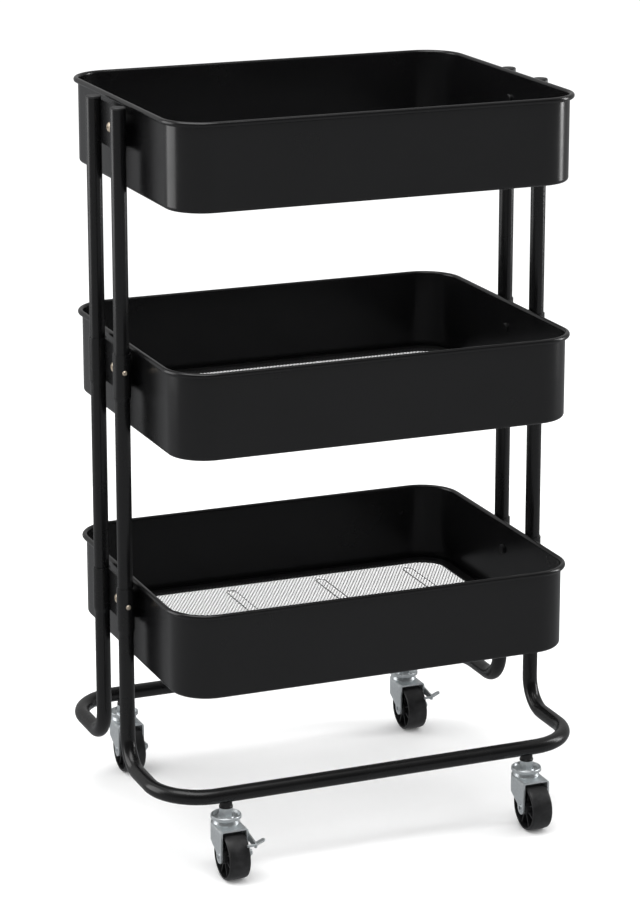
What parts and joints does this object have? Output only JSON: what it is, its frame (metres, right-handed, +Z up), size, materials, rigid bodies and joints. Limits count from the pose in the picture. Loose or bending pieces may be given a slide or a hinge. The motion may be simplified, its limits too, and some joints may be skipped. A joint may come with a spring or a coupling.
{
  "type": "rolling pantry cart",
  "caption": "Open steel cart with stacked deep trays and mesh floors between bent tube uprights, rolling on swivel casters with wheel brakes.",
  "frame": {"origin": "middle of the overall box in plan, on the floor the wheels stand on", "axes": "+X along the long side of the trays, -Y towards the front (where the casters trail at rest), +Z up"},
  "size_m": [0.4872, 0.383, 0.784],
  "materials": {
    "black_paint": "semi-gloss black powder coat on steel sheet and tube",
    "mesh_coat": "black powder coat on expanded steel mesh",
    "zinc": "bright blue-passivated zinc plating on pressed steel",
    "bronze_zinc": "warm yellow-passivated zinc plating",
    "black_plastic": "fine-grained moulded black plastic",
    "wheel_plastic": "hard moulded black plastic tread and web"
  },
  "bodies": {
    "cart_frame": {"front_base_tube": "black_paint", "rear_base_tube": "black_paint", "middle_post_front_left": "black_paint", "middle_post_front_right": "black_paint", "middle_post_rear_left": "black_paint", "middle_post_rear_right": "black_paint", "upper_post_front_left": "black_paint", "upper_post_front_right": "black_paint", "upper_post_rear_left": "black_paint", "upper_post_rear_right": "black_paint", "bottom_plate_left": "black_paint", "bottom_plate_right": "black_paint", "middle_plate_left": "black_paint", "middle_plate_right": "black_paint", "top_plate_left": "black_paint", "top_plate_right": "black_paint", "bottom_tray": "black_paint", "middle_tray": "black_paint", "top_tray": "black_paint", "bottom_mesh": "mesh_coat", "middle_mesh": "mesh_coat", "top_mesh": "mesh_coat", "tray_spacers": "black_plastic", "tray_bolts": "bronze_zinc", "tray_nuts": "black_paint", "post_caps": "black_plastic", "snap_springs": "zinc", "caster_collars": "black_paint", "caster_stems": "zinc"},
    "swivel_front_left": {"fork_front_left": "zinc", "axle_front_left": "zinc", "brake_pin_front_left": "zinc"},
    "rolling_wheel_front_left": {"wheel_front_left": "wheel_plastic"},
    "brake_lever_front_left": {"brake_front_left": "zinc"},
    "swivel_front_right": {"fork_front_right": "zinc", "axle_front_right": "zinc"},
    "rolling_wheel_front_right": {"wheel_front_right": "wheel_plastic"},
    "swivel_rear_left": {"fork_rear_left": "zinc", "axle_rear_left": "zinc"},
    "rolling_wheel_rear_left": {"wheel_rear_left": "wheel_plastic"},
    "swivel_rear_right": {"fork_rear_right": "zinc", "axle_rear_right": "zinc", "brake_pin_rear_right": "zinc"},
    "rolling_wheel_rear_right": {"wheel_rear_right": "wheel_plastic"},
    "brake_lever_rear_right": {"brake_rear_right": "zinc"},
    "snap_lower_button_front_left": {"lower_button_front_left": "zinc"},
    "snap_lower_button_front_right": {"lower_button_front_right": "zinc"},
    "snap_lower_button_rear_left": {"lower_button_rear_left": "zinc"},
    "snap_lower_button_rear_right": {"lower_button_rear_right": "zinc"},
    "snap_upper_button_front_left": {"upper_button_front_left": "zinc"},
    "snap_upper_button_front_right": {"upper_button_front_right": "zinc"},
    "snap_upper_button_rear_left": {"upper_button_rear_left": "zinc"},
    "snap_upper_button_rear_right": {"upper_button_rear_right": "zinc"}
  },
  "joints": [
    {"name": "swivel_turn_front_left", "type": "hinge", "parent": "cart_frame", "child": "swivel_front_left", "pos_m": [-0.171, -0.1465, 0.0548], "axis": [0, 0, 1], "continuous": true},
    {"name": "wheel_roll_front_left", "type": "hinge", "parent": "swivel_front_left", "child": "rolling_wheel_front_left", "pos_m": [-0.171, -0.1645, 0.025], "axis": [1, 0, 0], "continuous": true},
    {"name": "brake_press_front_left", "type": "hinge", "parent": "swivel_front_left", "child": "brake_lever_front_left", "pos_m": [-0.1549, -0.1605, 0.045], "axis": [1, 0, 0], "range_deg": [0, 8]},
    {"name": "swivel_turn_front_right", "type": "hinge", "parent": "cart_frame", "child": "swivel_front_right", "pos_m": [0.171, -0.1465, 0.0548], "axis": [0, 0, 1], "continuous": true},
    {"name": "wheel_roll_front_right", "type": "hinge", "parent": "swivel_front_right", "child": "rolling_wheel_front_right", "pos_m": [0.171, -0.1645, 0.025], "axis": [1, 0, 0], "continuous": true},
    {"name": "swivel_turn_rear_left", "type": "hinge", "parent": "cart_frame", "child": "swivel_rear_left", "pos_m": [-0.171, 0.1755, 0.0548], "axis": [0, 0, 1], "continuous": true},
    {"name": "wheel_roll_rear_left", "type": "hinge", "parent": "swivel_rear_left", "child": "rolling_wheel_rear_left", "pos_m": [-0.171, 0.1575, 0.025], "axis": [1, 0, 0], "continuous": true},
    {"name": "swivel_turn_rear_right", "type": "hinge", "parent": "cart_frame", "child": "swivel_rear_right", "pos_m": [0.171, 0.1755, 0.0548], "axis": [0, 0, 1], "continuous": true},
    {"name": "wheel_roll_rear_right", "type": "hinge", "parent": "swivel_rear_right", "child": "rolling_wheel_rear_right", "pos_m": [0.171, 0.1575, 0.025], "axis": [1, 0, 0], "continuous": true},
    {"name": "brake_press_rear_right", "type": "hinge", "parent": "swivel_rear_right", "child": "brake_lever_rear_right", "pos_m": [0.1871, 0.1615, 0.045], "axis": [1, 0, 0], "range_deg": [0, 8]},
    {"name": "lower_button_front_left_press", "type": "slide", "parent": "cart_frame", "child": "snap_lower_button_front_left", "axis": [0, 1, 0], "range_m": [0, 0.003], "stiffness_N_per_m": 400},
    {"name": "lower_button_front_right_press", "type": "slide", "parent": "cart_frame", "child": "snap_lower_button_front_right", "axis": [0, 1, 0], "range_m": [0, 0.003], "stiffness_N_per_m": 400},
    {"name": "lower_button_rear_left_press", "type": "slide", "parent": "cart_frame", "child": "snap_lower_button_rear_left", "axis": [0, -1, 0], "range_m": [0, 0.003], "stiffness_N_per_m": 400},
    {"name": "lower_button_rear_right_press", "type": "slide", "parent": "cart_frame", "child": "snap_lower_button_rear_right", "axis": [0, -1, 0], "range_m": [0, 0.003], "stiffness_N_per_m": 400},
    {"name": "upper_button_front_left_press", "type": "slide", "parent": "cart_frame", "child": "snap_upper_button_front_left", "axis": [0, 1, 0], "range_m": [0, 0.003], "stiffness_N_per_m": 400},
    {"name": "upper_button_front_right_press", "type": "slide", "parent": "cart_frame", "child": "snap_upper_button_front_right", "axis": [0, 1, 0], "range_m": [0, 0.003], "stiffness_N_per_m": 400},
    {"name": "upper_button_rear_left_press", "type": "slide", "parent": "cart_frame", "child": "snap_upper_button_rear_left", "axis": [0, -1, 0], "range_m": [0, 0.003], "stiffness_N_per_m": 400},
    {"name": "upper_button_rear_right_press", "type": "slide", "parent": "cart_frame", "child": "snap_upper_button_rear_right", "axis": [0, -1, 0], "range_m": [0, 0.003], "stiffness_N_per_m": 400}
  ]
}
